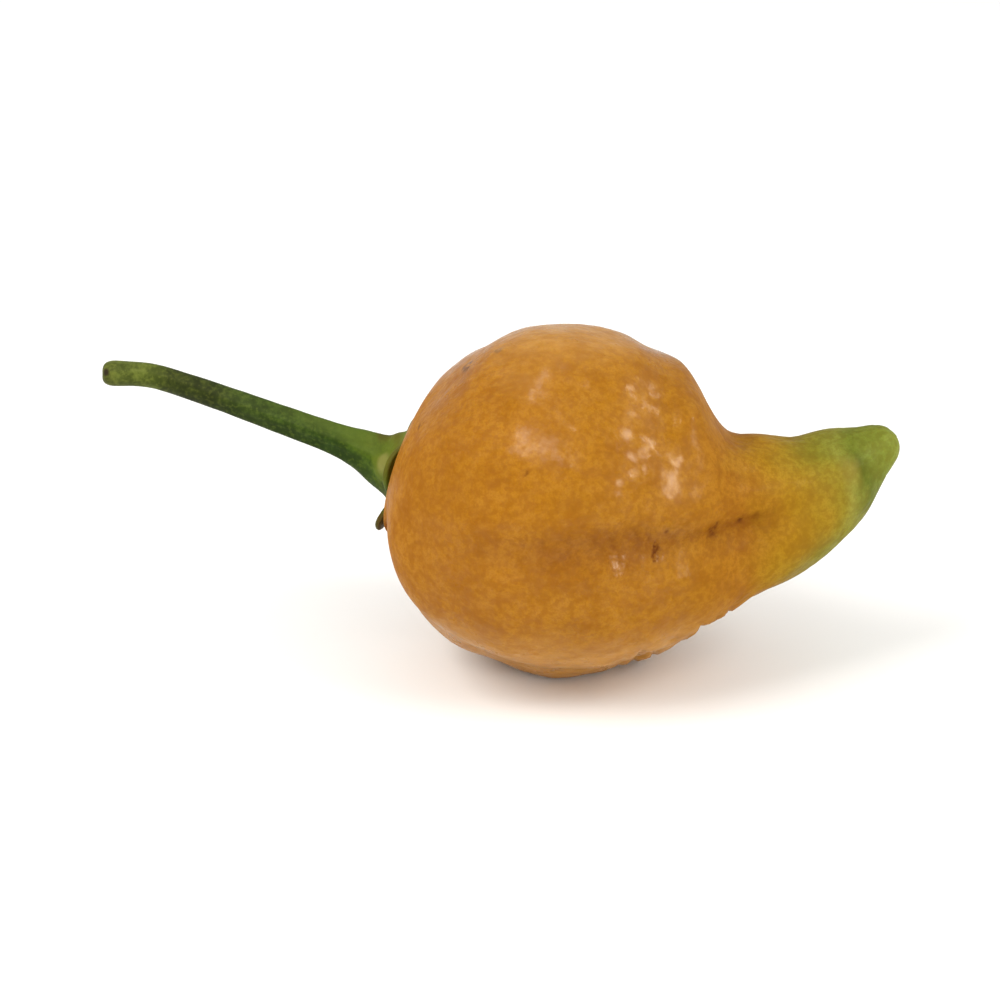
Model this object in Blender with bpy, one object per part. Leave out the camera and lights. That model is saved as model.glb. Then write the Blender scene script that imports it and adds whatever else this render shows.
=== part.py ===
"""A fresh habanero-type chilli pepper, picked and lying on its side, in metres with +Z up.

It is two pieces. The pod is one solid: a lobed and furrowed bulb with shoulders round a recess, a
fold across the top of its neck and a blunt beak that turns up. The stem is the other: a stalk that
flares into the calyx, a saucer with five teeth that sits in the pod's recess.

Both are grown along a spine. A profile gives the way along the spine and the distance out from it,
and a sphere primitive is shaped by it, so each end closes at a pole. Angles go round the spine in
degrees: 0 is the front (-Y), 90 the top, 180 the back and 270 the ground.
"""

import bisect
import math

import bmesh
import bpy
from mathutils import Vector, noise

COLLECTION = "chilli_pepper"

# The pod's spine, from the middle of its recess to the tip of the beak.
POD_SPINE = (
    (-0.0076, 0.0027, 0.0168),
    (-0.0022, 0.0011, 0.0156),
    (0.0047, 0.0001, 0.0150),
    (0.0112, -0.0002, 0.0142),
    (0.0170, -0.0002, 0.0140),
    (0.0222, 0.0002, 0.0145),
    (0.0268, 0.0009, 0.0158),
    (0.0304, 0.0016, 0.0179),
    (0.0333, 0.0022, 0.0196),
)
# (way along the spine, distance out): the recess, shoulder, bulb, neck and beak.
POD_PROFILE = (
    (0.0016, 0.0000),
    (0.0015, 0.0020),
    (0.0010, 0.0038),
    (0.0002, 0.0054),
    (0.0004, 0.0067),
    (0.0012, 0.0084),
    (0.0030, 0.0110),
    (0.0060, 0.0134),
    (0.0098, 0.0148),
    (0.0138, 0.0152),
    (0.0176, 0.0147),
    (0.0212, 0.0134),
    (0.0248, 0.0114),
    (0.0284, 0.0087),
    (0.0320, 0.0071),
    (0.0354, 0.0053),
    (0.0386, 0.0040),
    (0.0410, 0.0026),
    (0.0427, 0.0018),
    (0.0435, 0.0010),
    (0.0438, 0.0000),
)
POD_AROUND = 72
POD_ALONG = 66

# Lines along the pod: (angle at the shoulder, angle at the neck, height, width, start, end), where
# the start and end are shares of the length over which each line rises and fades.
FURROWS = (
    (-2, 9, 0.0017, 0.0025, (-0.10, 0.48), (0.64, 0.86)),
    (-22, -2, 0.0007, 0.0020, (0.12, 0.40), (0.50, 0.72)),
    (78, 42, 0.0011, 0.0046, (0.05, 0.45), (0.50, 0.70)),
    (146, 150, 0.0014, 0.0028, (-0.40, 0.30), (0.66, 0.90)),
    (214, 220, 0.0012, 0.0026, (-0.40, 0.30), (0.66, 0.90)),
    (304, 298, 0.0013, 0.0034, (-0.40, 0.30), (0.58, 0.80)),
    (306, 296, 0.0024, 0.0068, (-0.30, 0.00), (0.01, 0.17)),
)
SWELLINGS = (
    (105, 105, 0.0011, 0.0070, (0.46, 0.56), (0.56, 0.64)),
    (112, 100, 0.0018, 0.0058, (-0.10, 0.01), (0.01, 0.17)),
    (262, 262, 0.0011, 0.0052, (0.24, 0.40), (0.46, 0.58)),
)
LINE_SHARPNESS = 1.4
LINES_AT_NECK = 0.65  # the share of the length by which a line has reached its angle at the neck

# The fold across the top of the neck: steep on the bulb's side and gentle on the beak's.
FOLD_AT = 0.0285
FOLD_DEPTH = 0.0016
FOLD_STEEP = 0.0017
FOLD_GENTLE = 0.0056
FOLD_ANGLE = 112
FOLD_HALF_WIDTH = 85
FOLD_TAPER = 1.2

# Bumps all over the skin, and creases that pucker the skin across a furrow and round the neck.
BUMP_SIZE = 0.0060
BUMP_HEIGHT = 0.00060
CREASE_SPACING = 0.0026
CREASE_LENGTH = 0.0045
CREASE_HEIGHT = 0.00060
CREASE_LAYER = (7, 3)  # which layer of the noise the creases are read from
PUCKERS = ((0.30, 0.60), (0.72, 0.90))  # shares of the length where the creases grow and fade
LEAST_PUCKERED = 0.3
PUCKERED_BY_NECK = 0.5
SMOOTH_BEAK = 0.0240  # the skin grows smoother over this length towards the tip

# The recess is plain under the calyx, and the lobes begin past it.
RECESS_REACH = 0.0030
LOBES_FROM = (0.0054, 0.0080)
POLE_REACH = 0.0040
RECESS_POINTS = 6  # of the profile

PRESSED_FLAT = 0.0015  # how much of the lowest lobe the weight has pressed flat

# The stem's spine, from its cut end to where it turns onto the pod's own axis.
STEM_SPINE = (
    (-0.0336, 0.0050, 0.0247),
    (-0.0313, 0.0054, 0.0245),
    (-0.0289, 0.0055, 0.0242),
    (-0.0238, 0.0053, 0.0225),
    (-0.0187, 0.0049, 0.0207),
    (-0.0142, 0.0043, 0.0192),
    (-0.0115, 0.0037, 0.0183),
)
STRAIGHT_AT_POD = 0.0022  # the stem runs straight onto the pod's axis over this length
INTO_RECESS = 0.0016
ABOVE_MIDDLE = Vector((0, 0, 0.0002))  # the stem sits a little above the middle of the recess
# (way from the cut end, distance out) along the stalk.
STALK_PROFILE = (
    (0.0002, 0.0000),
    (0.0001, 0.0004),
    (0.0002, 0.00075),
    (0.0005, 0.0010),
    (0.0012, 0.00115),
    (0.0030, 0.00110),
    (0.0065, 0.00111),
    (0.0110, 0.00116),
    (0.0155, 0.00124),
)
# (way from the mouth of the pod's recess, distance out): the flare, and the saucer's two faces.
CALYX_PROFILE = (
    (-0.0085, 0.00129),
    (-0.0064, 0.00140),
    (-0.0048, 0.00162),
    (-0.0034, 0.00194),
    (-0.0021, 0.00238),
    (-0.0010, 0.00290),
    (-0.0004, 0.00345),
    (-0.0002, 0.00400),
    (-0.0002, 0.00435),
    (0.0001, 0.00450),
    (0.0004, 0.00435),
    (0.0007, 0.00380),
    (0.0012, 0.00200),
    (0.0013, 0.00000),
)
STEM_AROUND = 40
STEM_RINGS = 66

# The calyx's teeth: (angle, how far it reaches past the saucer, how far its tip curls off the pod).
TEETH = (
    (15, 0.0010, 0.0000),
    (85, 0.0002, 0.0000),
    (160, 0.0013, 0.0001),
    (230, 0.0013, 0.0002),
    (295, 0.0014, 0.0003),
)
TOOTH_HALF_WIDTH = 30
TOOTH_SHARPNESS = 1.0
TEETH_FROM = (0.0034, 0.0045)  # how far out the saucer's edge begins to be drawn into teeth
RIB_COUNT = 5
RIB_HEIGHT = 0.00012
RIBS_FROM_CUT = 0.0040
RIBS_END_AT_CALYX = 0.0030
CUT_RADIUS = 0.0008

POD_COLOUR = (0.55, 0.24, 0.03, 1)
POD_ROUGHNESS = 0.35
STEM_COLOUR = (0.08, 0.13, 0.02, 1)
STEM_ROUGHNESS = 0.55


def clear_scene():
    for obj in list(bpy.data.objects):
        bpy.data.objects.remove(obj)


class Curve:
    """A smooth (Catmull-Rom) curve through points."""

    STEPS = 24
    SECTION_REACH = 1 / 60  # how far to each side, of its length, a section reads its direction

    def __init__(self, points):
        points = [Vector(p) for p in points]
        ends = [2 * points[0] - points[1]] + points + [2 * points[-1] - points[-2]]
        self.points = []
        for a, b, c, d in zip(ends, ends[1:], ends[2:], ends[3:]):
            for step in range(self.STEPS):
                t = step / self.STEPS
                bend = (2 * a - 5 * b + 4 * c - d) * t * t + (3 * b - a - 3 * c + d) * t**3
                self.points.append(b + ((c - a) * t + bend) / 2)
        self.points.append(points[-1])
        self.distances = [0.0]
        for a, b in zip(self.points, self.points[1:]):
            self.distances.append(self.distances[-1] + (b - a).length)
        self.length = self.distances[-1]

    def between(self, place):
        i = min(max(int(place), 0), len(self.points) - 2)
        return self.points[i].lerp(self.points[i + 1], place - i)

    def at_share(self, share):
        """The point at a share of the curve's spans, however long each of them is."""
        return self.between(share * (len(self.points) - 1))

    def at(self, distance):
        last = len(self.points) - 2
        i = min(max(bisect.bisect(self.distances, distance) - 1, 0), last)
        span = self.distances[i + 1] - self.distances[i]
        return self.points[i].lerp(self.points[i + 1], (distance - self.distances[i]) / span)

    def section(self, distance):
        """(centre, front, up) of the section across the curve at this distance."""
        reach = self.length * self.SECTION_REACH
        along = (self.at(distance + reach) - self.at(distance - reach)).normalized()
        front = Vector((0, -1, 0))
        front = (front - front.dot(along) * along).normalized()
        return self.at(distance), front, front.cross(along)


def rise(value, low, high):
    """0 below low and 1 above high, smoothly between."""
    t = min(max((value - low) / (high - low), 0), 1)
    return t * t * (3 - 2 * t)


def turn_between(angle, other):
    """The turn from one angle to the other, from -180 to 180 degrees."""
    return (angle - other + 180) % 360 - 180


def grown(name, spine, profile, around, rings, shaped, colour, roughness):
    """A closed body along a spine: a sphere primitive whose poles are the profile's two ends.

    shaped(way, out, angle) moves a point of the plain turned body to its own place.
    """
    spine = Curve(spine)
    profile = Curve([(way, out, 0) for way, out in profile])
    bm = bmesh.new()
    bmesh.ops.create_uvsphere(bm, u_segments=around, v_segments=rings, radius=1)
    for vertex in bm.verts:
        share = math.acos(min(max(vertex.co.z, -1), 1)) / math.pi
        angle = math.degrees(math.atan2(vertex.co.y, vertex.co.x)) % 360
        way, out, _ = profile.at_share(share)
        way, out = shaped(way, max(out, 0), angle)
        centre, front, up = spine.section(way)
        turn = math.radians(angle)
        vertex.co = centre + out * (math.cos(turn) * front + math.sin(turn) * up)
    mesh = bpy.data.meshes.new(name)
    bm.to_mesh(mesh)
    bm.free()
    mesh.shade_smooth()
    mesh.materials.append(material(name, colour, roughness))
    return bpy.data.objects.new(name, mesh)


def material(name, colour, roughness):
    made = bpy.data.materials.new(name)
    made.use_nodes = True
    shader = made.node_tree.nodes["Principled BSDF"]
    shader.inputs["Base Color"].default_value = colour
    shader.inputs["Roughness"].default_value = roughness
    shader.inputs["Metallic"].default_value = 0
    return made


def over(share, start, end):
    """1 along a stretch of the length, falling to 0 before its start and after its end."""
    return rise(share, *start) * (1 - rise(share, *end))


def height_of(lines, share, out, angle):
    """How high (or deep) these lines along the pod are here."""
    height = 0
    for at_shoulder, at_neck, highest, width, start, end in lines:
        middle = at_shoulder + (at_neck - at_shoulder) * rise(share, 0, LINES_AT_NECK)
        away = abs(math.radians(turn_between(angle, middle))) * out / width
        height += highest * over(share, start, end) * math.exp(-(away**LINE_SHARPNESS))
    return height


def fold_depth(way, angle):
    """How far the fold across the neck sinks the skin here."""
    reach = FOLD_STEEP if way < FOLD_AT else FOLD_GENTLE
    turn = min(abs(turn_between(angle, FOLD_ANGLE)) / FOLD_HALF_WIDTH, 1)
    across = math.cos(turn * math.pi / 2) ** FOLD_TAPER
    return FOLD_DEPTH * math.exp(-(((way - FOLD_AT) / reach) ** 2)) * across


def relief(way, out, angle, puckered):
    """How far the skin's bumps and creases raise it here."""
    turn = math.radians(angle)
    around = Vector((0, math.cos(turn), math.sin(turn))) * out
    bumps = noise.noise((around + Vector((way, 0, 0))) / BUMP_SIZE)
    creases = noise.noise(around / CREASE_LENGTH + Vector((way / CREASE_SPACING, *CREASE_LAYER)))
    return BUMP_HEIGHT * bumps + CREASE_HEIGHT * creases * puckered


def pod():
    length = Curve(POD_SPINE).length
    deepest = FURROWS[0][2]

    def shaped(way, out, angle):
        share = way / length
        furrow = height_of(FURROWS, share, out, angle)
        puckered = LEAST_PUCKERED + over(share, *PUCKERS) * (PUCKERED_BY_NECK + furrow / deepest)
        sunk = furrow + fold_depth(way, angle) - height_of(SWELLINGS, share, out, angle)
        sunk -= relief(way, out, angle, puckered) * rise(length - way, 0, SMOOTH_BEAK)
        under_calyx = 1 - rise(out, *LOBES_FROM) if way < RECESS_REACH else 0
        return way, out - sunk * (1 - under_calyx) * min(out / POLE_REACH, 1)

    looks = (POD_COLOUR, POD_ROUGHNESS)
    return grown("pod", POD_SPINE, POD_PROFILE, POD_AROUND, POD_ALONG, shaped, *looks)


def recess_way(out):
    """The way along the spine at which the pod's recess lies, this far out from it."""
    recess = Curve([(way, distance, 0) for way, distance in POD_PROFILE[:RECESS_POINTS]])
    return next(point.x for point in recess.points if point.y >= out)


def tooth_at(angle):
    """(how far the saucer's edge reaches out, how far it curls off the pod) at this angle."""
    for at, longest, most_curled in TEETH:
        turn = abs(turn_between(angle, at)) / TOOTH_HALF_WIDTH
        if turn < 1:
            tooth = math.cos(turn * math.pi / 2) ** TOOTH_SHARPNESS
            return longest * tooth, most_curled * tooth
    return 0, 0


def stem():
    start, following = Vector(POD_SPINE[0]), Vector(POD_SPINE[1])
    axis = (following - start).normalized()
    ways = (-STRAIGHT_AT_POD, -STRAIGHT_AT_POD / 2, 0, INTO_RECESS)
    onto_axis = [start + ABOVE_MIDDLE + axis * way for way in ways]
    spine = [*STEM_SPINE, *onto_axis]
    base = Curve(spine).length - INTO_RECESS
    profile = [*STALK_PROFILE, *((base + way, out) for way, out in CALYX_PROFILE)]

    def shaped(way, out, angle):
        rib = RIB_HEIGHT * math.cos(math.radians(RIB_COUNT * (angle - TEETH[0][0])))
        rib *= rise(way, RIBS_FROM_CUT, base - RIBS_END_AT_CALYX)
        longer, curled = tooth_at(angle)
        at_edge = rise(out, *TEETH_FROM)
        if at_edge and longer:
            longer *= at_edge
            way += recess_way(out + longer) - recess_way(out) - curled * at_edge
            out += longer
        return way, out + (rib if out > CUT_RADIUS else 0)

    looks = (STEM_COLOUR, STEM_ROUGHNESS)
    return grown("stem", spine, profile, STEM_AROUND, STEM_RINGS, shaped, *looks)


def press_flat(obj, height):
    """A soft body's weight presses its lowest part onto the surface at this height."""
    for vertex in obj.data.vertices:
        vertex.co.z = max(vertex.co.z, height)


def corners(objects):
    points = [vertex.co for obj in objects for vertex in obj.data.vertices]
    low = Vector(min(p[i] for p in points) for i in range(3))
    high = Vector(max(p[i] for p in points) for i in range(3))
    return low, high


def main():
    clear_scene()
    pieces = [pod(), stem()]
    low, _ = corners(pieces)
    press_flat(pieces[0], low.z + PRESSED_FLAT)
    low, high = corners(pieces)
    origin = Vector(((low.x + high.x) / 2, (low.y + high.y) / 2, low.z))
    collection = bpy.data.collections.new(COLLECTION)
    bpy.context.scene.collection.children.link(collection)
    for piece in pieces:
        for vertex in piece.data.vertices:
            vertex.co -= origin
        collection.objects.link(piece)


main()
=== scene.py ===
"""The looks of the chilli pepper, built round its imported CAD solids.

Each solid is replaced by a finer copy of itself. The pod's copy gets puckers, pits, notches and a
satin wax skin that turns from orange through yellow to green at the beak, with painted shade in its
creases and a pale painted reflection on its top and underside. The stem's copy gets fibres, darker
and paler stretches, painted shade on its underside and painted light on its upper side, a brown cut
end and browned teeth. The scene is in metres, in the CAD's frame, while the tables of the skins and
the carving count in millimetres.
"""

import math

import bmesh
import bpy
import numpy as np
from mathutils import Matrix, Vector, noise


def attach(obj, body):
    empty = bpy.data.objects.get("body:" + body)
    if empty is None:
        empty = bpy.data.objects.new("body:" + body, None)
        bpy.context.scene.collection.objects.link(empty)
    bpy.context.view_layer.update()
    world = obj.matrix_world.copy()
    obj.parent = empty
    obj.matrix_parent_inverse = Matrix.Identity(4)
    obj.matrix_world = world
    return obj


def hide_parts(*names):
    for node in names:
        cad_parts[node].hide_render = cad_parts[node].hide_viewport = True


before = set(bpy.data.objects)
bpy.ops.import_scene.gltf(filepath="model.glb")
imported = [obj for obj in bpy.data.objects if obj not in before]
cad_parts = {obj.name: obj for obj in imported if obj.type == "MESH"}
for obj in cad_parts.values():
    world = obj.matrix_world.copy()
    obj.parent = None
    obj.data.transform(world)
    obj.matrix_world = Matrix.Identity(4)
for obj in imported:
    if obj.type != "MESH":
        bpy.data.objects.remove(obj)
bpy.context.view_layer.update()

MM = 0.001

# The finer copies of the solids.
WELD = 2e-6
RIGHT_ANGLE = math.pi / 2
SUBDIVISIONS = 2
SMOOTHINGS = 16  # rounds of smoothing, against which a hollow's depth is measured

# The camera: how high it stands, how far off and how long its lens is.
CAMERA_ELEVATION = math.radians(22)
CAMERA_DISTANCE = 0.236
CAMERA_LENS = 100
CAMERA_NEAR = 0.01
AIM = Vector((0, 0, 0.0148))

FLOOR_SIZE = 6.0
FLOOR_LOOKS = {"Base Color": (0.90, 0.90, 0.89, 1), "Roughness": 0.9, "Specular IOR Level": 0.1}
WORLD_COLOUR = (1.0, 0.99, 0.97, 1)
WORLD_STRENGTH = 0.80

# Soft boxes: (name, place, aim, width, length, watts). The broad ones light the pepper, and the
# small ones only show as highlights on its wax.
BROAD_LIGHTS = (
    ("key", (-0.36, -0.16, 0.42), (0.004, 0, 0.015), 0.34, 0.34, 2.20),
    ("right", (0.36, -0.14, 0.34), (0.004, 0, 0.015), 0.30, 0.20, 1.00),
    ("fill", (0.40, -0.30, 0.06), (0.004, 0, 0.015), 0.30, 0.10, 1.05),
)
BROAD_COLOUR = (1.0, 0.99, 0.97)
SMALL_LIGHTS = (
    ("window", (-0.045, -0.215, 0.380), (0.002, 0, 0.015), 0.13, 0.16, 1.05),
    ("top", (-0.001, 0.026, 0.439), (0.006, 0, 0.020), 0.05, 0.08, 0.20),
    ("spot", (0.092, -0.057, 0.428), (0.006, 0, 0.020), 0.03, 0.04, 0.07),
    ("skylight", (0.315, 0.075, 0.290), (0.012, 0, 0.020), 0.05, 0.07, 0.30),
    ("side", (0.358, -0.095, 0.232), (0.012, -0.01, 0.018), 0.12, 0.09, 0.95),
    ("front", (0.270, -0.277, 0.205), (0.012, -0.01, 0.018), 0.065, 0.065, 0.48),
    ("low", (0.260, -0.335, 0.090), (0.012, -0.01, 0.018), 0.065, 0.065, 0.20),
)
SMALL_COLOUR = (1.0, 0.84, 0.66)

# ---- The pod's relief. Spans along X are pairs: where a feature rises, and where it fades.

FROM_CALYX = (-9, -5)  # the skin under the calyx isn't carved
NECK = ((1, 9), (22, 29))
NOTCHED = ((8, 12), (19, 23))
FURROWED = ((-6, 9), (21, 26))
# How much a normal must point that way, from not at all to fully.
FACING_FRONT = (0.20, 0.60)
FACING_UP = (0.45, 0.75)
FACING_DOWN = (0.40, 0.80)

# Noise: (sizes along X, Y and Z, which layer of the noise).
FACETS = ((3.4, 3.4, 3.4), 3)
RIPPLES = ((1.5, 2.2, 2.2), 11)
FLECKS = ((0.6, 0.6, 0.6), 31)
PUCKERS = ((1.5, 4.2, 4.2), 5)
CRACKS = ((2.4, 2.4, 2.4), 17)
NOTCHES = ((1.7, 5.5, 5.5), 21)
PUCKER_WIDTH = 0.30
CRACK_WIDTH = 0.10
NOTCH_WIDTH = 0.24
VALLEY_SHARPNESS = 1.5

FACET_DEPTH = 0.11
FACETS_BY_NECK = (0.6, 0.8)  # their share everywhere, and what the neck adds
RIPPLE_DEPTH = 0.05
RIPPLES_BY_NECK = (0.4, 1.0)
FURROW_DEPTH = 0.10
PUCKER_DEPTH = 0.02
PUCKERS_IN_HOLLOW = 0.12
PUCKERS_IN_FURROW = 0.07
CRACK_DEPTH = 0.03
NOTCH_DEPTH = 0.45
HOLLOW = (0.02, 0.45)  # how deep a hollow is, from shallow to fully hollow

# The furrow along the front: (place along X, height), then how far it reaches above and below that
# line on the bulb and near the beak, where it is narrower and broken.
FURROW = ((-6, 16.6), (4.8, 16.4), (11.3, 16.4), (15.4, 15.9), (19.7, 15.9), (24, 16.6))
FURROW_ABOVE = (1.4, 0.5)
FURROW_BELOW = (2.4, 0.6)
FURROW_NARROWS = (9, 17)
FURROW_BROKEN = (0.35, 0.50)  # by how much, and by how much more on a ripple
CREASE_SHADE_SHARES = (0.7, 0.2, 0.4)  # how far the furrow, the hollows and the puckers get painted shade, darker and redder

# Dark pits, in and round that furrow and one on the bulb: (place, reach along X, reach across,
# depth, how dark).
PITS = (
    ((12.7, -12.4, 14.9), 0.26, 0.85, 0.14, 1.0),
    ((13.5, -12.3, 16.8), 0.28, 0.38, 0.10, 0.7),
    ((17.6, -9.4, 15.8), 0.50, 0.48, 0.16, 1.0),
    ((16.1, -10.4, 15.6), 0.60, 0.40, 0.08, 0.30),
    ((19.8, -7.9, 16.1), 0.36, 0.34, 0.12, 0.75),
    ((21.0, -7.4, 16.0), 0.50, 0.25, 0.06, 0.4),
    ((22.8, -6.7, 16.4), 0.24, 0.28, 0.08, 0.55),
    ((10.9, -13.0, 17.0), 0.35, 0.55, 0.08, 0.4),
    ((2.0, -13.0, 22.4), 0.28, 0.16, 0.08, 0.9),
)
PIT_RAGGED = 0.9

# A pale painted reflection lies on the bulb's top and underside: (how far up or down the skin
# faces, where it fades along X). Unripe green lies on the beak's upper and lower rim.
PAINTED_REFLECTION_TOP = ((0.80, 1.00), (8, 15))
PAINTED_REFLECTION_UNDER = ((0.25, 0.75), (14, 22))
RIM_ABOVE = (0.55, 0.95)
RIM_BELOW = (0.05, 0.60)
UNRIPE_FROM = (21, 28)

# ---- The pod's skin

# Its colours from the bulb to the tip: (place along X, sRGB colour).
SKIN = (
    (-10.0, (160, 104, 22)),
    (0.0, (160, 105, 20)),
    (8.0, (154, 102, 18)),
    (15.0, (148, 98, 15)),
    (20.0, (144, 94, 13)),
    (23.5, (146, 108, 15)),
    (26.0, (138, 109, 20)),
    (28.0, (129, 114, 29)),
    (29.5, (130, 126, 50)),
    (31.2, (88, 97, 26)),
    (34.5, (118, 128, 48)),
)
SKIN_WARP = 2.0  # how far the colours wander along the pod
WARP_RANGE = (0.2, 0.8)  # of the noise by which they wander
TOP_AHEAD = 0.8  # how far they run ahead on the top
TOP_HEIGHTS = (18.5, 21.0)
UNRIPE = (104, 112, 34)
UNRIPE_SHARE = 0.55

# Its textures: (size, detail, roughness, scale of X), where a scale below 1 draws them out lengthwise.
POD_NOISES = {
    "warp": (5.5, 2, 0.50, 1.0),
    "broad": (6.0, 3, 0.50, 1.0),
    "mottle": (2.0, 6, 0.62, 0.75),
    "grain": (0.50, 3, 0.50, 1.0),
    "fine": (0.17, 2, 0.50, 1.0),
    "streaks": (0.90, 4, 0.50, 0.5),
    "satin": (2.2, 3, 0.50, 1.0),
    "patches": (0.90, 4, 0.50, 1.0),
    "peel": (0.75, 3, 0.50, 1.0),
    "pores": (0.32, 2, 0.50, 1.0),
}
# Its mottling: (texture, value from which it shows, value at which it is full, how much, tone, easing).
POD_MOTTLING = (
    ("broad", 0.46, 0.70, 0.80, "paler", "SMOOTHSTEP"),
    ("mottle", 0.46, 0.68, 1.00, "deeper", "LINEAR"),
    ("mottle", 0.46, 0.28, 0.90, "paler", "LINEAR"),
    ("grain", 0.44, 0.62, 0.60, "deeper", "SMOOTHSTEP"),
    ("grain", 0.46, 0.30, 0.45, "paler", "SMOOTHSTEP"),
    ("fine", 0.40, 0.66, 0.40, "deeper", "SMOOTHSTEP"),
)
POD_PALER = (42, 31, 12)
POD_DEEPER = (226, 212, 190)
# The painted shade in the creases, darker and redder.
PAINTED_CREASE_SHADE = (216, 200, 186)
PITTED = (170, 138, 90)
PITTED_RANGE = (0.1, 0.9)
RAG_RANGE = (0.40, 0.60)  # of the grain, which makes the pits and marks ragged
LEAST_RAGGED = 0.4  # the share of a pit's brown that is there whatever the grain
# Brown marks on the upper left of the bulb: (place, radius).
BLEMISHES = (
    ((-2.7, -1.7, 27.5), 1.10),
    ((-0.2, -2.5, 29.1), 0.55),
    ((-6.6, -4.8, 23.4), 0.55),
)
MARK_BROWN = (104, 62, 8)
MARK_CORE = 0.4  # the share of a mark's radius that is fully coloured
# The colour of the pale painted reflection on the bulb's top and underside.
PAINTED_REFLECTION_COLOUR = (190, 142, 74)
# A texture's values from the first to the second become those from the third to the fourth.
PAINTED_REFLECTION_STREAKS = (0.35, 0.65, 0.25, 0.50)

# Its wax is patchy, and thinnest on the beak, by the calyx (both along X) and in the pits. The
# roughness and the patches come from textures in the way that the painted reflection's streaks do.
MATT_BEAK = (13.5, 17.5)
MATT_CALYX = (-4, -8)
SATIN = (0.35, 0.65, 0.26, 0.40)
MATT_ROUGHER = 0.22
COAT = (0.17, 0.01)  # how thick the wax is where it is satin and where it is matt
COAT_PATCHES = (0.40, 0.60, 0.45, 1.25)
PEEL_HEIGHT = 0.065
PORE_HEIGHT = 0.024
POD_LOOKS = {
    "Specular IOR Level": 0.06,
    "Coat Roughness": 0.15,
    "Subsurface Weight": 0.10,
    "Subsurface Radius": (1.0, 0.45, 0.12),
    "Subsurface Scale": 1.0 * MM,
}

# ---- The stem

STEM_SLICE = 0.4  # the stalk's middle is found in slices of this length
STEM_RIBS = ((7.0, 0.45, 0.45), 2)
STEM_KNOTS = ((1.6, 1.2, 1.2), 9)
RIB_DEPTH = 0.045
KNOT_DEPTH = 0.05

# Its green from the cut end to the pod: (place along X, sRGB colour).
STEM_GREEN = (
    (-34.0, (82, 84, 30)),
    (-32.0, (86, 95, 34)),
    (-29.5, (84, 94, 30)),
    (-28.0, (50, 58, 12)),
    (-24.5, (45, 54, 10)),
    (-22.0, (58, 74, 20)),
    (-17.0, (56, 77, 16)),
    (-14.0, (50, 74, 8)),
    (-11.0, (62, 84, 6)),
    (-9.0, (84, 92, 10)),
)
STEM_WARP = 1.2
STEM_NOISES = {
    "warp": (3.0, 2, 0.50, 1.0),
    "blotch": (1.3, 3, 0.50, 1.0),
    "speckle": (0.33, 3, 0.50, 1.0),
}
STEM_MOTTLING = (
    ("blotch", 0.38, 0.68, 0.95, "dark", "SMOOTHSTEP"),
    ("speckle", 0.50, 0.68, 0.40, "light", "SMOOTHSTEP"),
    ("speckle", 0.50, 0.34, 0.60, "dark", "SMOOTHSTEP"),
)
STEM_DARK = (176, 182, 160)
STEM_LIGHT = (62, 64, 24)
PAINTED_SIDE_LIGHT_SHARE = 0.7  # how far painted shade darkens the stalk's underside, and painted light lightens its upper side
PAINTED_SHADE_HEIGHTS = (0.4, -0.8)  # heights above the stalk's middle
PAINTED_LIGHT_HEIGHTS = (0.2, 1.4)
PAINTED_SHADE_FROM = (-30, -26)  # along X, and so is the next
PAINTED_LIGHT_FROM = (-21, -13)
# A pale patch on the flare: (place, radius), with heights and the radius squashed by this much.
PALE_PATCH = ((-9.9, 0.2, 10.0), 0.8)
PATCH_SQUASH = 0.55
PATCH_COLOUR = (138, 130, 70)
PATCH_SHARE = 0.55

# The calyx's edge and its lower teeth have dried brown, and so has the pith at the cut end.
EDGE_OUT = (3.3, 4.2)  # how far out from the stalk's middle
EDGE_SHARE = 0.5
LOW_TEETH = (14.8, 13.6)  # heights
CALYX_FROM = (-10.9, -10.2)  # along X
TOOTH_BROWN = (80, 62, 14)
PITH = ((-33.5, 3.7, 25.0), 0.50)
PITH_BROWN = (44, 36, 18)

STEM_SATIN = (0.3, 0.7, 0.48, 0.62)
FIBRE_SIZE = 0.5
FIBRE_DETAIL = 3
FIBRE_SCALE = 0.12  # of X, which draws the fibres out lengthwise
FIBRE_HEIGHT = 0.03
STEM_LOOKS = {"Specular IOR Level": 0.12}

# The sockets of the Mix node that are for colours.
MIX_SHARE, MIX_COLOUR, MIX_OTHER, MIX_RESULT = 0, 6, 7, 2


def in_metres(lengths):
    """Lengths in millimetres as lengths in metres."""
    return tuple(length * MM for length in lengths)


# ---------------------------------------------------------------- meshes


def fine_copy(node, name):
    """A subdivided copy of a CAD node that also holds how deep each point lies in a hollow."""
    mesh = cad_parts[node].data.copy()
    mesh.materials.clear()
    bm = bmesh.new()
    bm.from_mesh(mesh)
    bmesh.ops.remove_doubles(bm, verts=bm.verts, dist=WELD)
    bmesh.ops.join_triangles(
        bm, faces=bm.faces, angle_face_threshold=RIGHT_ANGLE, angle_shape_threshold=RIGHT_ANGLE
    )
    bm.to_mesh(mesh)
    bm.free()
    add_hollows(mesh)
    coarse = bpy.data.objects.new(name + "_coarse", mesh)
    bpy.context.collection.objects.link(coarse)
    coarse.modifiers.new("fine", "SUBSURF").levels = SUBDIVISIONS
    evaluated = coarse.evaluated_get(bpy.context.evaluated_depsgraph_get())
    fine = bpy.data.meshes.new_from_object(evaluated)
    bpy.data.objects.remove(coarse)
    fine.name = name
    fine.shade_smooth()
    piece = bpy.data.objects.new(name, fine)
    bpy.context.collection.objects.link(piece)
    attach(piece, "root")
    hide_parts(node)
    return piece


def points_of(mesh):
    points = np.empty(len(mesh.vertices) * 3)
    mesh.vertices.foreach_get("co", points)
    return points.reshape(-1, 3)


def normals_of(mesh):
    normals = np.empty(len(mesh.vertices) * 3)
    mesh.vertex_normals.foreach_get("vector", normals)
    return normals.reshape(-1, 3)


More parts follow.
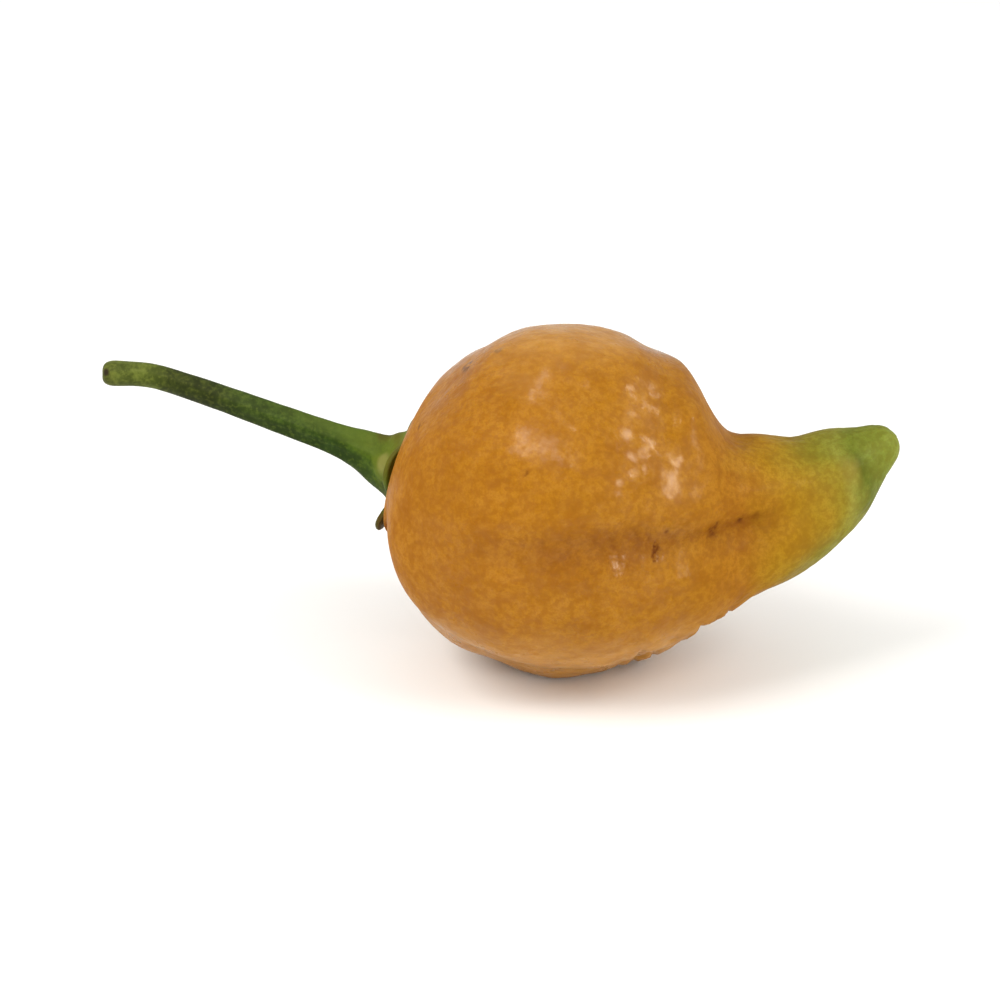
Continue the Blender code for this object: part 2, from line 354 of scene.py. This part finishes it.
def stored(mesh, name):
    values = np.empty(len(mesh.vertices), dtype=np.float32)
    mesh.attributes[name].data.foreach_get("value", values)
    return values.astype(float)


def store(mesh, name, values):
    layer = mesh.attributes.new(name, "FLOAT", "POINT")
    layer.data.foreach_set("value", np.asarray(values, dtype=np.float32))


def store_vectors(mesh, name, values):
    layer = mesh.attributes.new(name, "FLOAT_VECTOR", "POINT")
    layer.data.foreach_set("vector", np.asarray(values, dtype=np.float32).ravel())


def add_hollows(mesh):
    """Stores in `hollow`, in millimetres, how deep each vertex lies below the smoothed surface."""
    edges = np.empty(len(mesh.edges) * 2, dtype=int)
    mesh.edges.foreach_get("vertices", edges)
    a, b = edges.reshape(-1, 2).T
    points = points_of(mesh)
    count = np.bincount(a, minlength=len(points)) + np.bincount(b, minlength=len(points))
    smooth = points.copy()
    for _ in range(SMOOTHINGS):
        total = np.zeros_like(smooth)
        np.add.at(total, a, smooth[b])
        np.add.at(total, b, smooth[a])
        smooth = total / count[:, None]
    depth = np.einsum("ij,ij->i", smooth - points, normals_of(mesh))
    store(mesh, "hollow", depth / MM)


def rise(values, low, high):
    """0 below low and 1 above high, smoothly between."""
    t = np.clip((values - low) / (high - low), 0, 1)
    return t * t * (3 - 2 * t)


def over(values, start, end):
    """1 along a stretch, rising from 0 over its start and falling to 0 over its end."""
    return rise(values, *start) * (1 - rise(values, *end))


def noise_at(points, sizes, layer):
    """Smooth noise, from -1 to 1, with features of these sizes along X, Y and Z."""
    places = points / np.asarray(sizes) + layer
    return np.array([noise.noise(place) for place in places.tolist()])


def from_0(values):
    """Noise from -1 to 1 as noise from 0 to 1."""
    return 0.5 + 0.5 * values


def valleys(values, width):
    """Narrow valleys along the lines where noise crosses 0."""
    return np.clip(1 - np.abs(values) / width, 0, 1) ** VALLEY_SHARPNESS


def carve(mesh, depth):
    """Moves each vertex inwards by its depth in millimetres."""
    points = points_of(mesh) - normals_of(mesh) * depth[:, None] * MM
    mesh.vertices.foreach_set("co", points.ravel())
    mesh.update()


# ---------------------------------------------------------------- relief


def front_furrow(points, ripples):
    """1 on the line of the furrow along the front, falling to 0 away from it and past its ends."""
    x = points[:, 0]
    line = np.interp(x, [at for at, _ in FURROW], [height for _, height in FURROW])
    off = points[:, 2] - line
    narrows = rise(x, *FURROW_NARROWS)
    above = np.interp(narrows, (0, 1), FURROW_ABOVE)
    below = np.interp(narrows, (0, 1), FURROW_BELOW)
    off = np.where(off > 0, off / above, off / below)
    always, on_ripple = FURROW_BROKEN
    whole = np.clip(1 - narrows * (always + on_ripple * ripples), 0, 1)
    return np.exp(-(off**2)) * over(x, *FURROWED) * whole


def pits(points):
    """(how deep the pits are, how dark they are) at each point."""
    ragged = 1 + PIT_RAGGED * noise_at(points, *FLECKS)
    deep = np.zeros(len(points))
    dark = np.zeros(len(points))
    for place, along, across, depth, darkness in PITS:
        away = np.linalg.norm((points - place) / (along, across, across), axis=1) * ragged
        dent = np.exp(-(away**2))
        deep += depth * dent
        dark = np.maximum(dark, darkness * dent)
    return deep, dark


def carve_pod(mesh):
    points = points_of(mesh) / MM
    normals = normals_of(mesh)
    x = points[:, 0]
    front, up, down = -normals[:, 1], normals[:, 2], -normals[:, 2]
    on_neck = over(x, *NECK)
    on_front = rise(front, *FACING_FRONT) * (1 - rise(up, *FACING_UP))
    hollow = rise(stored(mesh, "hollow"), *HOLLOW) * on_neck * on_front

    ripples = noise_at(points, *RIPPLES)
    everywhere, by_neck = FACETS_BY_NECK
    depth = FACET_DEPTH * from_0(noise_at(points, *FACETS)) * (everywhere + by_neck * on_neck)
    everywhere, by_neck = RIPPLES_BY_NECK
    depth += RIPPLE_DEPTH * from_0(ripples) * (everywhere + by_neck * on_neck)

    furrow = front_furrow(points, ripples) * on_front
    puckers = valleys(noise_at(points, *PUCKERS), PUCKER_WIDTH)
    cracks = valleys(noise_at(points, *CRACKS), CRACK_WIDTH)
    notches = valleys(noise_at(points, *NOTCHES), NOTCH_WIDTH)
    notches *= rise(down, *FACING_DOWN) * over(x, *NOTCHED)
    pit_depth, pitted = pits(points)
    depth += (PUCKERS_IN_HOLLOW * hollow + PUCKERS_IN_FURROW * furrow + PUCKER_DEPTH) * puckers
    depth += FURROW_DEPTH * furrow + CRACK_DEPTH * cracks + NOTCH_DEPTH * notches + pit_depth

    # Painted shade, darker and redder, in the furrow, the hollows and the furrow's puckers.
    by_furrow, by_hollow, by_pucker = CREASE_SHADE_SHARES
    crease_shade = by_furrow * furrow + by_hollow * hollow + by_pucker * furrow * puckers
    store(mesh, "crease_shade", np.clip(crease_shade, 0, 1))
    store(mesh, "pitted", pitted)
    # Where the pale painted reflection lies: on the bulb's top and on its underside.
    painted_reflection_above = rise(up, *PAINTED_REFLECTION_TOP[0]) * (1 - rise(x, *PAINTED_REFLECTION_TOP[1]))
    painted_reflection_below = rise(down, *PAINTED_REFLECTION_UNDER[0]) * (1 - rise(x, *PAINTED_REFLECTION_UNDER[1]))
    store(mesh, "painted_reflection_share", np.maximum(painted_reflection_above, painted_reflection_below))
    rims = np.maximum(rise(up, *RIM_ABOVE), rise(down, *RIM_BELOW))
    store(mesh, "unripe", rims * rise(x, *UNRIPE_FROM))
    carve(mesh, depth * rise(x, *FROM_CALYX))


def carve_stem(mesh):
    """Carves ribs and knots, and stores in `lengthwise` where each point lies off the stalk's middle."""
    points = points_of(mesh) / MM
    x = points[:, 0]
    slices = ((x - x.min()) / STEM_SLICE).astype(int)
    count = np.maximum(np.bincount(slices), 1)
    middle = [np.bincount(slices, weights=points[:, axis]) / count for axis in range(3)]
    off_y = points[:, 1] - np.interp(x, middle[0], middle[1])
    off_z = points[:, 2] - np.interp(x, middle[0], middle[2])
    lengthwise = np.stack([x, off_y, off_z], axis=1)
    store_vectors(mesh, "lengthwise", lengthwise)
    ribs = from_0(noise_at(lengthwise, *STEM_RIBS))
    knots = from_0(noise_at(points, *STEM_KNOTS))
    carve(mesh, RIB_DEPTH * ribs + KNOT_DEPTH * knots)


# ---------------------------------------------------------------- materials


def linear(colour):
    """An sRGB colour from 0 to 255 as Blender's linear colour."""
    parts = [c / 255 for c in colour]
    return (*[c / 12.92 if c < 0.04045 else ((c + 0.055) / 1.055) ** 2.4 for c in parts], 1)


class Graph:
    """A material's node tree, with a short call for each kind of node."""

    def __init__(self, name, looks):
        """Looks are the shader's values that are the same all over the surface."""
        self.material = bpy.data.materials.new(name)
        self.material.use_nodes = True
        self.tree = self.material.node_tree
        self.inputs = self.tree.nodes["Principled BSDF"].inputs
        for socket, value in looks.items():
            self.inputs[socket].default_value = value

    def put(self, value, socket):
        if isinstance(value, bpy.types.NodeSocket):
            self.tree.links.new(value, socket)
        else:
            socket.default_value = value

    def node(self, kind, inputs, **settings):
        made = self.tree.nodes.new(kind)
        for key, value in settings.items():
            setattr(made, key, value)
        for key, value in inputs.items():
            self.put(value, made.inputs[key])
        return made

    def place(self):
        return self.node("ShaderNodeTexCoord", {}).outputs["Object"]

    def attribute(self, name, output="Fac"):
        return self.node("ShaderNodeAttribute", {}, attribute_name=name).outputs[output]

    def split(self, vector):
        return self.node("ShaderNodeSeparateXYZ", {0: vector}).outputs

    def maths(self, operation, a, b):
        return self.node("ShaderNodeMath", {0: a, 1: b}, operation=operation).outputs[0]

    def vectors(self, operation, a, b, output):
        made = self.node("ShaderNodeVectorMath", {0: a, 1: b}, operation=operation)
        return made.outputs[output]

    def scaled(self, vector, scales):
        return self.vectors("MULTIPLY", vector, scales, "Vector")

    def spread(self, value, low, high, to_low=0.0, to_high=1.0, easing="SMOOTHSTEP"):
        """The value from low to high as to_low to to_high, and no further."""
        inputs = {0: value, 1: low, 2: high, 3: to_low, 4: to_high}
        return self.node("ShaderNodeMapRange", inputs, interpolation_type=easing).outputs[0]

    def noise(self, vector, size, detail, roughness=0.5):
        """Noise around 0.5 with features of this size, and finer ones of this share each."""
        inputs = {"Vector": vector, "Scale": 1 / size, "Detail": detail, "Roughness": roughness}
        return self.node("ShaderNodeTexNoise", inputs).outputs["Fac"]

    def noises(self, vector, table):
        """The table's textures, by their names."""
        made = {}
        for name, (size, detail, roughness, scale) in table.items():
            drawn_out = self.scaled(vector, (scale, 1, 1))
            made[name] = self.noise(drawn_out, size * MM, detail, roughness)
        return made

    def near(self, vector, point, radius):
        """1 round a point, falling to 0 at this radius, both in millimetres."""
        distance = self.vectors("DISTANCE", vector, in_metres(point), "Value")
        return self.spread(distance, radius * MM, radius * MM * MARK_CORE)

    def ramp(self, value, stops):
        made = self.node("ShaderNodeValToRGB", {0: value})
        elements = made.color_ramp.elements
        while len(elements) < len(stops):
            elements.new(1)
        for element, (position, colour) in zip(elements, stops):
            element.position = position
            element.color = linear(colour)
        return made.outputs[0]

    def mixed(self, share, colour, other, kind="MIX"):
        made = self.node("ShaderNodeMix", {}, data_type="RGBA", blend_type=kind)
        self.put(share, made.inputs[MIX_SHARE])
        self.put(colour, made.inputs[MIX_COLOUR])
        self.put(other, made.inputs[MIX_OTHER])
        return made.outputs[MIX_RESULT]

    def added(self, colour, other):
        return self.mixed(1.0, colour, linear(other), "ADD")

    def multiplied(self, colour, other):
        return self.mixed(1.0, colour, linear(other), "MULTIPLY")

    def along(self, x, stops, warp, wander, ahead=0.0):
        """The stops' colours along X, which wander by so many millimetres."""
        first, last = stops[0][0], stops[-1][0]
        wandered = self.spread(warp, *WARP_RANGE, -wander * MM, wander * MM, "LINEAR")
        place = self.maths("ADD", self.maths("ADD", x, wandered), ahead)
        share = self.spread(place, first * MM, last * MM, easing="LINEAR")
        return self.ramp(share, [((at - first) / (last - first), colour) for at, colour in stops])

    def mottled(self, colour, noises, tones, mottling):
        """The colour with each of the mottling's tones mixed in, one after the other."""
        for name, start, full, most, tone, easing in mottling:
            share = self.spread(noises[name], start, full, 0, most, easing)
            colour = self.mixed(share, colour, tones[tone])
        return colour

    def bump(self, texture, height, over=None):
        """A normal as if the texture stood this many millimetres high."""
        inputs = {"Height": texture, "Distance": height * MM, "Strength": 1.0}
        if over is not None:
            inputs["Normal"] = over
        return self.node("ShaderNodeBump", inputs).outputs[0]


def pod_material():
    g = Graph("pod_skin", POD_LOOKS)
    place = g.place()
    x, _, z = g.split(place)
    noises = g.noises(place, POD_NOISES)

    ahead = g.spread(z, *in_metres(TOP_HEIGHTS), 0, TOP_AHEAD * MM)
    skin = g.along(x, SKIN, noises["warp"], SKIN_WARP, ahead)
    unripe = g.maths("MULTIPLY", g.attribute("unripe"), UNRIPE_SHARE)
    skin = g.mixed(unripe, skin, linear(UNRIPE))
    tones = {"paler": g.added(skin, POD_PALER), "deeper": g.multiplied(skin, POD_DEEPER)}
    skin = g.mottled(skin, noises, tones, POD_MOTTLING)

    # The creases get painted shade, darker and redder, and the pits and marks are brown with ragged
    # edges.
    skin = g.mixed(g.attribute("crease_shade"), skin, g.multiplied(skin, PAINTED_CREASE_SHADE))
    ragged = g.spread(noises["grain"], *RAG_RANGE)
    pitted = g.spread(g.attribute("pitted"), *PITTED_RANGE)
    pitted = g.maths("MULTIPLY", pitted, g.spread(ragged, 0, 1, LEAST_RAGGED, 1))
    skin = g.mixed(pitted, skin, g.multiplied(skin, PITTED))
    for at, radius in BLEMISHES:
        mark = g.maths("MULTIPLY", g.near(place, at, radius), ragged)
        skin = g.mixed(mark, skin, linear(MARK_BROWN))
    # The pale painted reflection on the bulb's top and underside, broken into streaks.
    streaks = g.spread(noises["streaks"], *PAINTED_REFLECTION_STREAKS)
    painted_reflection_share = g.maths("MULTIPLY", g.attribute("painted_reflection_share"), streaks)
    skin = g.mixed(painted_reflection_share, skin, linear(PAINTED_REFLECTION_COLOUR))
    g.put(skin, g.inputs["Base Color"])

    on_beak = g.spread(x, *in_metres(MATT_BEAK))
    by_calyx = g.spread(x, *in_metres(MATT_CALYX))
    matt = g.maths("MAXIMUM", g.maths("MAXIMUM", on_beak, by_calyx), pitted)
    rougher = g.maths("MULTIPLY", matt, MATT_ROUGHER)
    g.put(g.maths("ADD", g.spread(noises["satin"], *SATIN), rougher), g.inputs["Roughness"])
    patches = g.spread(noises["patches"], *COAT_PATCHES)
    coat = g.maths("MULTIPLY", g.spread(matt, 0, 1, *COAT), patches)
    g.put(coat, g.inputs["Coat Weight"])
    peel = g.bump(noises["peel"], PEEL_HEIGHT)
    g.put(g.bump(noises["pores"], PORE_HEIGHT, over=peel), g.inputs["Normal"])
    return g.material


def stem_material():
    g = Graph("stem_skin", STEM_LOOKS)
    place = g.place()
    x, _, z = g.split(place)
    lengthwise = g.attribute("lengthwise", "Vector")
    _, _, height = g.split(lengthwise)
    noises = g.noises(place, STEM_NOISES)

    green = g.along(x, STEM_GREEN, noises["warp"], STEM_WARP)
    tones = {"dark": g.multiplied(green, STEM_DARK), "light": g.added(green, STEM_LIGHT)}
    # Painted shade on the stalk's underside, and, after the mottling, painted light on its upper side.
    under = g.spread(x, *in_metres(PAINTED_SHADE_FROM))
    under = g.maths("MULTIPLY", g.spread(height, *PAINTED_SHADE_HEIGHTS), under)
    upper = g.spread(x, *in_metres(PAINTED_LIGHT_FROM))
    upper = g.maths("MULTIPLY", g.spread(height, *PAINTED_LIGHT_HEIGHTS), upper)
    green = g.mixed(g.maths("MULTIPLY", under, PAINTED_SIDE_LIGHT_SHARE), green, tones["dark"])
    green = g.mottled(green, noises, tones, STEM_MOTTLING)
    green = g.mixed(g.maths("MULTIPLY", upper, PAINTED_SIDE_LIGHT_SHARE), green, tones["light"])
    patch = g.near(g.scaled(place, (1, 1, PATCH_SQUASH)), *PALE_PATCH)
    green = g.mixed(g.maths("MULTIPLY", patch, PATCH_SHARE), green, linear(PATCH_COLOUR))

    out = g.vectors("LENGTH", g.scaled(lengthwise, (0, 1, 1)), (0, 0, 0), "Value")
    edge = g.spread(out, *EDGE_OUT, 0, EDGE_SHARE)
    tips = g.maths("MAXIMUM", edge, g.spread(z, *in_metres(LOW_TEETH)))
    tips = g.maths("MULTIPLY", tips, g.spread(x, *in_metres(CALYX_FROM)))
    green = g.mixed(tips, green, linear(TOOTH_BROWN))
    green = g.mixed(g.near(place, *PITH), green, linear(PITH_BROWN))
    g.put(green, g.inputs["Base Color"])

    g.put(g.spread(noises["blotch"], *STEM_SATIN), g.inputs["Roughness"])
    fibres = g.noise(g.scaled(lengthwise, (FIBRE_SCALE, 1, 1)), FIBRE_SIZE, FIBRE_DETAIL)
    g.put(g.bump(fibres, FIBRE_HEIGHT), g.inputs["Normal"])
    return g.material


# ---------------------------------------------------------------- stage


def aimed(obj, target):
    obj.rotation_euler = (Vector(target) - obj.location).to_track_quat("-Z", "Y").to_euler()


def add_floor():
    mesh = bpy.data.meshes.new("floor")
    bm = bmesh.new()
    bmesh.ops.create_grid(bm, x_segments=1, y_segments=1, size=FLOOR_SIZE / 2)
    bm.to_mesh(mesh)
    bm.free()
    floor = bpy.data.objects.new("floor", mesh)
    bpy.context.collection.objects.link(floor)
    mesh.materials.append(Graph("floor", FLOOR_LOOKS).material)


def add_light(name, place, target, width, length, watts, colour, broad):
    lamp = bpy.data.lights.new(name, "AREA")
    lamp.shape = "RECTANGLE"
    lamp.size = width
    lamp.size_y = length
    lamp.energy = watts
    lamp.color = colour
    light = bpy.data.objects.new(name, lamp)
    light.location = place
    light.visible_diffuse = broad
    light.visible_glossy = not broad
    aimed(light, target)
    bpy.context.collection.objects.link(light)


def add_lights():
    for light in BROAD_LIGHTS:
        add_light(*light, BROAD_COLOUR, True)
    for light in SMALL_LIGHTS:
        add_light(*light, SMALL_COLOUR, False)


def add_world():
    world = bpy.data.worlds.new("studio")
    world.use_nodes = True
    background = world.node_tree.nodes["Background"]
    background.inputs["Color"].default_value = WORLD_COLOUR
    background.inputs["Strength"].default_value = WORLD_STRENGTH
    bpy.context.scene.world = world
    bpy.context.scene.view_settings.view_transform = "Standard"


def add_camera():
    lens = bpy.data.cameras.new("camera")
    lens.lens = CAMERA_LENS
    lens.clip_start = CAMERA_NEAR
    camera = bpy.data.objects.new("camera", lens)
    back = Vector((0, -math.cos(CAMERA_ELEVATION), math.sin(CAMERA_ELEVATION)))
    camera.location = AIM + CAMERA_DISTANCE * back
    aimed(camera, AIM)
    bpy.context.collection.objects.link(camera)
    bpy.context.scene.camera = camera


def main():
    pod = fine_copy("pod", "pod_skin")
    carve_pod(pod.data)
    pod.data.materials.append(pod_material())
    stem = fine_copy("stem", "stem_skin")
    carve_stem(stem.data)
    stem.data.materials.append(stem_material())
    add_floor()
    add_lights()
    add_world()
    add_camera()


main()
